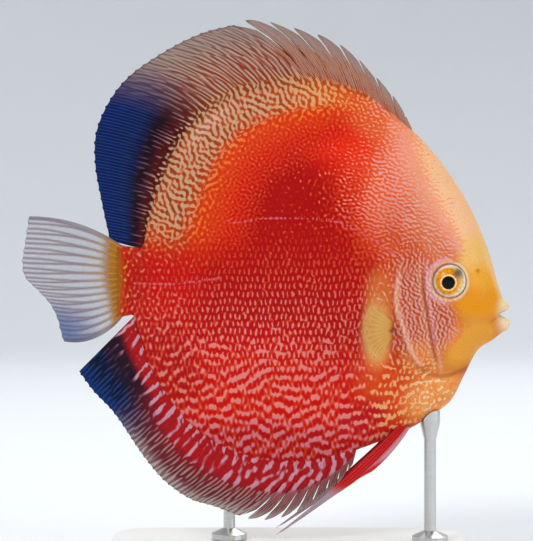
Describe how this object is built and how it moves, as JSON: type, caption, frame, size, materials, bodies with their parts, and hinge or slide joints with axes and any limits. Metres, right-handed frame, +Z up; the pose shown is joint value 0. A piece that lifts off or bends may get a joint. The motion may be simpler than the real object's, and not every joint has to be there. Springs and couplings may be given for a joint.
{
  "type": "discus fish life-size display model",
  "caption": "Life-size still model of a red-strain discus fish, swimming level, with rayed fins, on a flat white stand with two steel rods.",
  "frame": {"origin": "centre of the bounding box, at its bottom: the middle of the stand's footprint width, on the surface it stands on", "axes": "+X towards the snout, +Y towards the fish's left side, +Z up"},
  "size_m": [0.1629, 0.07, 0.1841],
  "materials": {
    "red_skin": "glossy scaled skin, red with pale labyrinth lines",
    "amber_skin": "glossy skin, amber with pink vermiculation",
    "eye": "polished",
    "dark_fin": "satin membrane with raised rays",
    "clear_fin": "translucent membrane with raised rays",
    "crimson_fin": "satin membrane with raised rays",
    "stand_acrylic": "satin white acrylic",
    "stand_steel": "satin"
  },
  "bodies": {
    "root": {"head": "amber_skin", "upper_jaw": "amber_skin", "lower_jaw": "amber_skin", "gill_cover_left": "amber_skin", "gill_cover_right": "amber_skin", "eye_left": "eye", "eye_right": "eye", "trunk": "red_skin", "breast": "red_skin", "tail_stalk": "red_skin", "dorsal_fin_spines": "dark_fin", "dorsal_fin_rays": "dark_fin", "anal_fin_spines": "dark_fin", "anal_fin_rays": "dark_fin", "caudal_fin": "clear_fin", "pectoral_fin_left": "clear_fin", "pectoral_fin_right": "clear_fin", "pelvic_fin_left": "crimson_fin", "pelvic_fin_right": "crimson_fin", "stand_base": "stand_acrylic", "stand_rod_front": "stand_steel", "stand_rod_rear": "stand_steel"}
  },
  "joints": []
}
